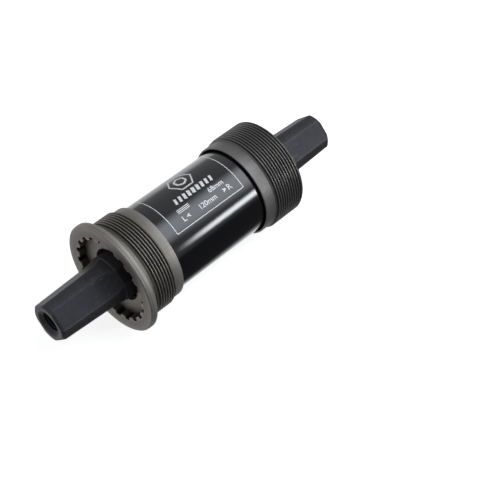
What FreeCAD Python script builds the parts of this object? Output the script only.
import FreeCAD, Part
import math
import os

from FreeCAD import Matrix, Vector

# Square-taper bottom bracket: a sealed cartridge that a bicycle's cranks turn on.
# Millimetres. The origin is the middle of the spindle, on its axis.
# +Y runs along the axis from the left side to the drive side, +Z is up.

# ------------------------------------------------------------------ driving dimensions

# The frame that it screws into
frame_shell_width = 68.0
frame_shell_centre = 1.4          # the frame's middle, measured from the spindle's middle

# Screw thread of both cups, 1.37 inch by 24 threads per inch
thread_pitch = 25.4 / 24
thread_root_flat = 0.16
thread_crest_flat = 0.148
thread_half_angle = 30.0
thread_overrun = 0.05             # how far a thread cutter stands out of the wall that it cuts
cutter_run_past = 1.3             # how far a thread cutter runs past each end of its thread
thread_start_angles = [0, 40, 80, 120, 160, 200, 240, 280, 320]
least_cut_share = 0.6             # of the cutter's volume, in a groove that was really cut
cut_margin = 1.0                  # how far plain cutters and outlines stand out of the metal

# Left cup, with a flange
flange_height = 2.4               # from the crest of the thread to the flange's rim
flange_thickness = 2.45
flange_front_chamfer = 0.45
flange_back_chamfer = 0.25
left_relief_length = 2.2          # plain neck between the flange and the thread
left_thread_length = 8.3
left_band_length = 3.45           # plain band at the inner end
left_socket_depth = 3.0
left_floor_thickness = 2.0
left_floor_gap = 1.1              # from the spindle's seat to the hole in the floor

# Right cup, without a flange
right_cup_proud = 0.7             # stands this far out of the frame
right_thread_length = 12.6
right_band_length = 4.35
right_socket_depth = 4.35
right_floor_thickness = 1.3
right_floor_gap = 3.0             # from the spindle's seat to the hole in the floor
right_mouth_gap = 0.55            # open ring between the cup's inner mouth and the shell
right_mouth_depth = 3.0
right_thread_core_wall = 0.5      # metal from the spline roots to the thread's own sleeve

# Both cups
cup_wall = 1.1                    # plain band, from the left cup's bore to its outside
band_drop = 0.1                   # the plain bands lie this much below the thread's root
cup_end_chamfer = 0.5
cup_edge_break = 0.15

# Tool splines in the mouth of each cup
spline_count = 20
spline_wall = 0.95                # metal from the spline roots to the thread's root
spline_depth = 1.2
spline_notch_width_inner = 2.7
spline_notch_width_outer = 2.0
spline_mouth_chamfer = 0.3

# Cartridge shell
shell_wall = 1.5
shell_end_chamfer = 0.3

# Ball bearings, 17 x 28 x 7
bearing_bore_r = 8.5
bearing_section = 5.5             # from the bore to the outside, radially
bearing_inset = 0.4               # left bearing, in from the end of the shell
ball_count = 12
ball_r = 3.175 / 2
groove_ease = 0.0725              # the grooves' radius is this much larger than a ball's
race_land_gap = 0.9               # from the ball circle to the shoulder of each race
race_edge_break = 0.3
cage_thickness = 1.0
cage_rim = 0.5125                 # metal on each side of a pocket
cage_end_gap = 0.25               # cage to each seal
seal_thickness = 0.8
seal_inset = 0.25
seal_seat_depth = 0.75            # step in the outer race that holds the seal's rim

# Spindle
shoulder_height = 1.1             # from the bearing seat to the shoulder between the bearings
shoulder_chamfer = 0.4
seat_overhang = 4.45              # plain seat outside the right bearing
taper_shoulder_length = 0.5
taper_length = 24.6               # the corners are turned to a cone over this length
taper_half_angle = 2.0
taper_corner_drop = 1.2           # from the bearing seat down to the corners at the tip
taper_flat_drop = 1.0             # from the corners down to the flats, at the tip
flat_end_gap = 4.1                # from the end of the straight flat to the end of the cone
flat_runout_r = 14.0              # radius of the cutter that ends each flat
tip_chamfer = 0.9

# Crank bolt holes, for M8 x 1, bored to the radius of the thread's crests
bolt_bore_r = 3.459
bolt_hole_depth = 21.0
bolt_mouth_flare = 1.541          # the mouth is this much wider than the bore
bolt_mouth_depth = 1.1
drill_point_angle = 59.0          # half of the angle of the drill's point

# Fits
cup_slip_clearance = 0.05         # left cup on the shell, radial
shell_end_clearance = 0.1         # shell's left end to the floor of the left cup
ball_clearance = 0.04             # ball to the bottom of each groove
pocket_clearance = 0.1            # ball to its pocket in the cage
seal_lip_clearance = 0.1          # lip of the seal to the inner race
spacer_clearance = 0.05           # spacer tube in the shell, radial

# ------------------------------------------------------------------ radii, from the inside out

thread_flank = (thread_pitch - thread_root_flat - thread_crest_flat) / 2
thread_depth = thread_flank / math.tan(math.radians(thread_half_angle))

bearing_outer_r = bearing_bore_r + bearing_section
ball_pitch_r = (bearing_bore_r + bearing_outer_r) / 2
ball_groove_r = ball_r + groove_ease
pocket_r = ball_r + pocket_clearance
inner_land_r = ball_pitch_r - race_land_gap
outer_land_r = ball_pitch_r + race_land_gap
seal_outer_r = outer_land_r + seal_seat_depth
seal_inner_r = inner_land_r + seal_lip_clearance

shell_inner_r = bearing_outer_r
shell_outer_r = shell_inner_r + shell_wall
left_bore_r = shell_outer_r + cup_slip_clearance
band_r = left_bore_r + cup_wall
thread_root_r = band_r + band_drop
thread_crest_r = thread_root_r + thread_depth
outline_r = thread_crest_r + cut_margin
flange_r = thread_crest_r + flange_height
spline_root_r = thread_root_r - spline_wall
spline_tip_r = spline_root_r - spline_depth
left_floor_bore_r = bearing_bore_r + left_floor_gap
right_floor_bore_r = bearing_bore_r + right_floor_gap

spindle_shoulder_r = bearing_bore_r + shoulder_height
taper_tip_corner_r = bearing_bore_r - taper_corner_drop
taper_tip_half_flat = taper_tip_corner_r - taper_flat_drop
taper_slope = math.tan(math.radians(taper_half_angle))
bolt_mouth_r = bolt_bore_r + bolt_mouth_flare

# ------------------------------------------------------------------ places along the axis

cage_width = 2 * (pocket_r + cage_rim)
bearing_width = cage_width + 2 * (cage_end_gap + seal_thickness + seal_inset)

flange_back_y = frame_shell_centre - frame_shell_width / 2
flange_front_y = flange_back_y - flange_thickness
left_floor_y = flange_front_y + left_socket_depth
left_floor_inner_y = left_floor_y + left_floor_thickness
left_thread_y = flange_back_y + left_relief_length
left_band_y = left_thread_y + left_thread_length
left_cup_end_y = left_band_y + left_band_length

right_end_y = frame_shell_centre + frame_shell_width / 2 + right_cup_proud
right_floor_y = right_end_y - right_socket_depth
right_floor_inner_y = right_floor_y - right_floor_thickness
right_thread_y = right_end_y - right_thread_length
right_cup_end_y = right_thread_y - right_band_length

shell_left_y = left_floor_inner_y + shell_end_clearance
shell_right_y = right_floor_inner_y

left_bearing_y = shell_left_y + bearing_inset
right_bearing_y = shell_right_y - bearing_width
races_inner_left_y = left_bearing_y + bearing_width
races_inner_right_y = right_bearing_y

seat_end_y = shell_right_y + seat_overhang
half_spindle = seat_end_y + taper_shoulder_length + taper_length
flat_length = taper_length - flat_end_gap

AXIS = Vector(0, 1, 0)
ORIGIN = Vector(0, 0, 0)


# ------------------------------------------------------------------ helpers

def turned(profile):
    """Solid turned about the Y axis from (y, radius) points."""
    points = [Vector(radius, y, 0) for y, radius in profile]
    wire = Part.makePolygon(points + [points[0]])
    return Part.Face(wire).revolve(ORIGIN, AXIS, 360)


def cylinder(radius, y_start, y_end):
    """Solid rod on the Y axis."""
    return Part.makeCylinder(radius, y_end - y_start, Vector(0, y_start, 0), AXIS)


def about_axis(shape, angle):
    """Copy of a shape, turned about the Y axis by an angle in degrees."""
    copy = shape.copy()
    copy.rotate(ORIGIN, AXIS, angle)
    return copy


def flipped(shape):
    """Mirror image of a shape, left side for right side."""
    return shape.mirror(ORIGIN, AXIS)


def ring_of(tool, count):
    """The same cutter at equal steps about the Y axis."""
    return Part.makeCompound([about_axis(tool, 360.0 * i / count) for i in range(count)])


def helical_groove(y_start, y_end, start_angle):
    """Right-hand cutter for the cups' thread, between two places along the axis."""
    top_r = thread_crest_r + thread_overrun
    half_root = thread_root_flat / 2
    half_top = half_root + (top_r - thread_root_r) * math.tan(math.radians(thread_half_angle))
    corners = [
        Vector(thread_root_r, 0, -half_root),
        Vector(top_r, 0, -half_top),
        Vector(top_r, 0, half_top),
        Vector(thread_root_r, 0, half_root),
    ]
    section = Part.makePolygon(corners + [corners[0]])
    helix = Part.makeHelix(thread_pitch, y_end - y_start, (thread_root_r + top_r) / 2)
    groove = Part.Wire(helix).makePipeShell([section], True, True)
    groove.rotate(ORIGIN, Vector(1, 0, 0), -90)
    groove.translate(Vector(0, y_start, 0))
    return about_axis(groove, start_angle)


def outside_thread(outline_points, y_start, y_end):
    """Threaded sleeve of a cup. The outline reaches out past the crest.

    The groove is cut in a rod that is longer than the thread, and the rod is then trimmed to
    the outline. The thread may start at any angle: one whose helix crosses a seam of the
    outline badly is passed over for the next.
    """
    y_low = y_start - cutter_run_past
    y_high = y_end + cutter_run_past
    rod = cylinder(thread_crest_r, y_low - thread_pitch, y_high + thread_pitch)
    outline = turned(outline_points)
    for start_angle in thread_start_angles:
        groove = helical_groove(y_low, y_high, start_angle)
        cut_rod = rod.cut(groove)
        cut_share = (rod.Volume - cut_rod.Volume) / groove.Volume
        sleeve = cut_rod.common(outline)
        if least_cut_share < cut_share < 1 and sleeve.isValid() and len(sleeve.Solids) == 1:
            return sleeve.Solids[0]
    raise ValueError("no start angle gives a sound thread")


def spline_notch(y_start, y_end):
    """One notch of the tool splines, with straight sides and a round bottom."""
    below = spline_tip_r - cut_margin
    half_inner = spline_notch_width_inner / 2
    half_outer = spline_notch_width_outer / 2
    flare = (half_inner - half_outer) / (spline_root_r - spline_tip_r)
    half_below = half_inner + flare * (spline_tip_r - below)
    side_r = math.sqrt(spline_root_r ** 2 - half_outer ** 2)
    left_low = Vector(-half_below, y_start, below)
    left_high = Vector(-half_outer, y_start, side_r)
    crown = Vector(0, y_start, spline_root_r)
    right_high = Vector(half_outer, y_start, side_r)
    right_low = Vector(half_below, y_start, below)
    edges = [
        Part.LineSegment(left_low, left_high).toShape(),
        Part.Arc(left_high, crown, right_high).toShape(),
        Part.LineSegment(right_high, right_low).toShape(),
        Part.LineSegment(right_low, left_low).toShape(),
    ]
    face = Part.Face(Part.Wire(edges))
    return face.extrude(Vector(0, y_end - y_start, 0))


# ------------------------------------------------------------------ cups

def cut_splines(cup, mouth_y, floor_y):
    """Cut the tool splines between the mouth and the floor of a cup."""
    low, high = min(mouth_y, floor_y), max(mouth_y, floor_y)
    notch = spline_notch(low, high)
    return cup.cut(ring_of(notch, spline_count))


def make_left_cup():
    """Flanged cup with a right-hand thread, that slips onto the shell's left end."""
    past_crest = outline_r - band_r
    thread = outside_thread([
        (left_thread_y, left_bore_r),
        (left_thread_y, band_r),
        (left_thread_y + past_crest, outline_r),
        (left_band_y - past_crest, outline_r),
        (left_band_y, band_r),
        (left_band_y, left_bore_r),
    ], left_thread_y, left_band_y)
    head = turned([
        (flange_front_y, spline_tip_r + spline_mouth_chamfer),
        (flange_front_y, flange_r - flange_front_chamfer),
        (flange_front_y + flange_front_chamfer, flange_r),
        (flange_back_y - flange_back_chamfer, flange_r),
        (flange_back_y, flange_r - flange_back_chamfer),
        (flange_back_y, band_r),
        (left_thread_y, band_r),
        (left_thread_y, left_bore_r),
        (left_floor_inner_y, left_bore_r),
        (left_floor_inner_y, left_floor_bore_r),
        (left_floor_y, left_floor_bore_r),
        (left_floor_y, spline_tip_r),
        (flange_front_y + spline_mouth_chamfer, spline_tip_r),
    ])
    band = turned([
        (left_band_y, left_bore_r),
        (left_band_y, band_r),
        (left_cup_end_y - cup_edge_break, band_r),
        (left_cup_end_y, band_r - cup_edge_break),
        (left_cup_end_y, left_bore_r + cup_edge_break),
        (left_cup_end_y - cup_edge_break, left_bore_r),
    ])
    head = cut_splines(head, flange_front_y, left_floor_y)
    return head.fuse([thread, band])


def make_right_cup():
    """Cup with a left-hand thread, pressed onto the shell's right end."""
    mouth_r = shell_outer_r + right_mouth_gap
    end_edge_r = thread_crest_r - cup_end_chamfer
    wall_r = spline_root_r + right_thread_core_wall
    past_crest = outline_r - band_r
    thread = outside_thread([
        (right_thread_y, wall_r),
        (right_thread_y, band_r),
        (right_thread_y + past_crest, outline_r),
        (right_end_y - outline_r + end_edge_r, outline_r),
        (right_end_y, end_edge_r),
        (right_end_y, wall_r),
    ], right_thread_y, right_end_y)
    left_handed = thread.mirror(ORIGIN, Vector(1, 0, 0))
    core = turned([
        (right_end_y, spline_tip_r + spline_mouth_chamfer),
        (right_end_y, wall_r),
        (right_thread_y, wall_r),
        (right_thread_y, band_r),
        (right_cup_end_y + cup_edge_break, band_r),
        (right_cup_end_y, band_r - cup_edge_break),
        (right_cup_end_y, mouth_r + cup_edge_break),
        (right_cup_end_y + cup_edge_break, mouth_r),
        (right_cup_end_y + right_mouth_depth, mouth_r),
        (right_cup_end_y + right_mouth_depth + right_mouth_gap, shell_outer_r),
        (right_floor_inner_y, shell_outer_r),
        (right_floor_inner_y, right_floor_bore_r),
        (right_floor_y, right_floor_bore_r),
        (right_floor_y, spline_tip_r),
        (right_end_y - spline_mouth_chamfer, spline_tip_r),
    ])
    core = cut_splines(core, right_end_y, right_floor_y)
    return core.fuse(left_handed)


# ------------------------------------------------------------------ cartridge

def make_shell():
    """Plain steel tube that holds both bearings."""
    chamfer = shell_end_chamfer
    return turned([
        (shell_left_y, shell_inner_r),
        (shell_left_y, shell_outer_r - chamfer),
        (shell_left_y + chamfer, shell_outer_r),
        (shell_right_y - chamfer, shell_outer_r),
        (shell_right_y, shell_outer_r - chamfer),
        (shell_right_y, shell_inner_r),
    ])


def make_race_spacer():
    """Tube that keeps the two outer races apart."""
    outer_r = shell_inner_r - spacer_clearance
    return turned([
        (races_inner_left_y, seal_outer_r),
        (races_inner_left_y, outer_r),
        (races_inner_right_y, outer_r),
        (races_inner_right_y, seal_outer_r),
    ])


# ------------------------------------------------------------------ bearings
# Each function makes its piece for a bearing that starts at y and runs towards +Y.

def ball_track(torus_r, y_middle):
    """Ring-shaped cutter for the groove that the balls run in."""
    return Part.makeTorus(torus_r, ball_groove_r, Vector(0, y_middle, 0), AXIS)


def make_outer_race(y):
    """Outer race with its ball groove and a step on each side for a seal."""
    end = y + bearing_width
    step = seal_inset + seal_thickness
    race = turned([
        (y, seal_outer_r),
        (y, bearing_outer_r - race_edge_break),
        (y + race_edge_break, bearing_outer_r),
        (end - race_edge_break, bearing_outer_r),
        (end, bearing_outer_r - race_edge_break),
        (end, seal_outer_r),
        (end - step, seal_outer_r),
        (end - step, outer_land_r),
        (y + step, outer_land_r),
        (y + step, seal_outer_r),
    ])
    groove_bottom = ball_pitch_r + ball_r + ball_clearance
    return race.cut(ball_track(groove_bottom - ball_groove_r, y + bearing_width / 2))


def make_inner_race(y):
    """Inner race, pressed onto the spindle."""
    end = y + bearing_width
    race = turned([
        (y, bearing_bore_r + race_edge_break),
        (y, inner_land_r - race_edge_break),
        (y + race_edge_break, inner_land_r),
        (end - race_edge_break, inner_land_r),
        (end, inner_land_r - race_edge_break),
        (end, bearing_bore_r + race_edge_break),
        (end - race_edge_break, bearing_bore_r),
        (y + race_edge_break, bearing_bore_r),
    ])
    groove_bottom = ball_pitch_r - ball_r - ball_clearance
    return race.cut(ball_track(groove_bottom + ball_groove_r, y + bearing_width / 2))


def make_cage(y):
    """Ring with one round pocket for each ball."""
    middle = y + bearing_width / 2
    low_r = ball_pitch_r - cage_thickness / 2
    high_r = ball_pitch_r + cage_thickness / 2
    ring = turned([
        (middle - cage_width / 2, low_r),
        (middle - cage_width / 2, high_r),
        (middle + cage_width / 2, high_r),
        (middle + cage_width / 2, low_r),
    ])
    start = Vector(0, middle, low_r - cut_margin)
    reach = cage_thickness + 2 * cut_margin
    pocket = Part.makeCylinder(pocket_r, reach, start, Vector(0, 0, 1))
    return ring.cut(ring_of(pocket, ball_count))


def make_ball(y, index):
    """One ball of a bearing, in its place on the ball circle."""
    centre = Vector(0, y + bearing_width / 2, ball_pitch_r)
    return about_axis(Part.makeSphere(ball_r, centre), 360.0 * index / ball_count)


def make_seal(y):
    """Rubber seal ring that starts at y. Its rim sits in the outer race's step."""
    return turned([
        (y, seal_inner_r),
        (y, seal_outer_r),
        (y + seal_thickness, seal_outer_r),
        (y + seal_thickness, seal_inner_r),
    ])


# ------------------------------------------------------------------ spindle

def corner_radius(distance_from_tip):
    """Radius of the turned cone that the taper's corners lie on."""
    return taper_tip_corner_r + taper_slope * distance_from_tip


def flat_cutter():
    """Cutter for the left end's upper flat: a straight cut that ends in a round run-out."""
    start_z = taper_tip_half_flat - taper_slope * cut_margin
    start = Vector(0, -half_spindle - cut_margin, start_z)
    flat_end_z = taper_tip_half_flat + taper_slope * flat_length
    end = Vector(0, -half_spindle + flat_length, flat_end_z)
    lean = math.radians(taper_half_angle)
    centre_y = end.y - flat_runout_r * math.sin(lean)
    centre_z = end.z + flat_runout_r * math.cos(lean)
    sweep = math.acos((centre_z - bearing_bore_r - cut_margin) / flat_runout_r)

    def on_runout(angle):
        y = centre_y + flat_runout_r * math.sin(angle)
        return Vector(0, y, centre_z - flat_runout_r * math.cos(angle))

    top = on_runout(sweep)
    middle = on_runout((lean + sweep) / 2)
    corner = Vector(0, start.y, top.z)
    edges = [
        Part.LineSegment(start, end).toShape(),
        Part.Arc(end, middle, top).toShape(),
        Part.LineSegment(top, corner).toShape(),
        Part.LineSegment(corner, start).toShape(),
    ]
    half_width = bearing_bore_r + cut_margin
    face = Part.Face(Part.Wire(edges))
    face.translate(Vector(-half_width, 0, 0))
    return face.extrude(Vector(2 * half_width, 0, 0))


def bolt_hole_cutter():
    """Drilled hole in the left end of the spindle, with a countersunk mouth."""
    point_depth = bolt_bore_r / math.tan(math.radians(drill_point_angle))
    mouth_y = -half_spindle
    bottom_y = mouth_y + bolt_hole_depth
    return turned([
        (mouth_y - cut_margin, 0),
        (mouth_y - cut_margin, bolt_mouth_r),
        (mouth_y, bolt_mouth_r),
        (mouth_y + bolt_mouth_depth, bolt_bore_r),
        (bottom_y, bolt_bore_r),
        (bottom_y + point_depth, 0),
    ])


def make_spindle():
    """Axle with a square taper and a threaded hole at each end."""
    taper_end_r = corner_radius(taper_length)
    tip_y = half_spindle
    body = turned([
        (-tip_y, 0),
        (-tip_y, taper_tip_corner_r - tip_chamfer),
        (-tip_y + tip_chamfer, corner_radius(tip_chamfer)),
        (-tip_y + taper_length, taper_end_r),
        (-seat_end_y, bearing_bore_r),
        (races_inner_left_y, bearing_bore_r),
        (races_inner_left_y, spindle_shoulder_r - shoulder_chamfer),
        (races_inner_left_y + shoulder_chamfer, spindle_shoulder_r),
        (races_inner_right_y - shoulder_chamfer, spindle_shoulder_r),
        (races_inner_right_y, spindle_shoulder_r - shoulder_chamfer),
        (races_inner_right_y, bearing_bore_r),
        (seat_end_y, bearing_bore_r),
        (tip_y - taper_length, taper_end_r),
        (tip_y - tip_chamfer, corner_radius(tip_chamfer)),
        (tip_y, taper_tip_corner_r - tip_chamfer),
        (tip_y, 0),
    ])
    cutter = flat_cutter()
    for quarter in range(4):
        flat = about_axis(cutter, 45 + 90 * quarter)
        body = body.cut(flat)
        body = body.cut(flipped(flat))
    hole = bolt_hole_cutter()
    body = body.cut(hole)
    return body.cut(flipped(hole))


# ------------------------------------------------------------------ write the pieces

def save(name, shape):
    """Write one piece to its own STEP file and say what it is."""
    solid = shape.Solids[0]
    if len(shape.Solids) != 1 or not solid.isValid():
        raise ValueError(name + " is not one valid solid")
    solid.exportStep("parts/" + name + ".step")
    print(name, round(solid.Volume, 1), "mm3")


os.makedirs("parts", exist_ok=True)

save("cartridge_shell", make_shell())
save("race_spacer", make_race_spacer())
save("left_cup", make_left_cup())
save("right_cup", make_right_cup())
save("spindle", make_spindle())

for side, bearing_y in (("left", left_bearing_y), ("right", right_bearing_y)):
    save(side + "_outer_race", make_outer_race(bearing_y))
    save(side + "_inner_race", make_inner_race(bearing_y))
    save(side + "_cage", make_cage(bearing_y))
    low_seal_y = bearing_y + seal_inset
    high_seal_y = bearing_y + bearing_width - seal_inset - seal_thickness
    outboard_is_low = side == "left"
    save(side + "_outer_seal", make_seal(low_seal_y if outboard_is_low else high_seal_y))
    save(side + "_inner_seal", make_seal(high_seal_y if outboard_is_low else low_seal_y))
    for index in range(ball_count):
        save("%s_ball_%02d" % (side, index + 1), make_ball(bearing_y, index))
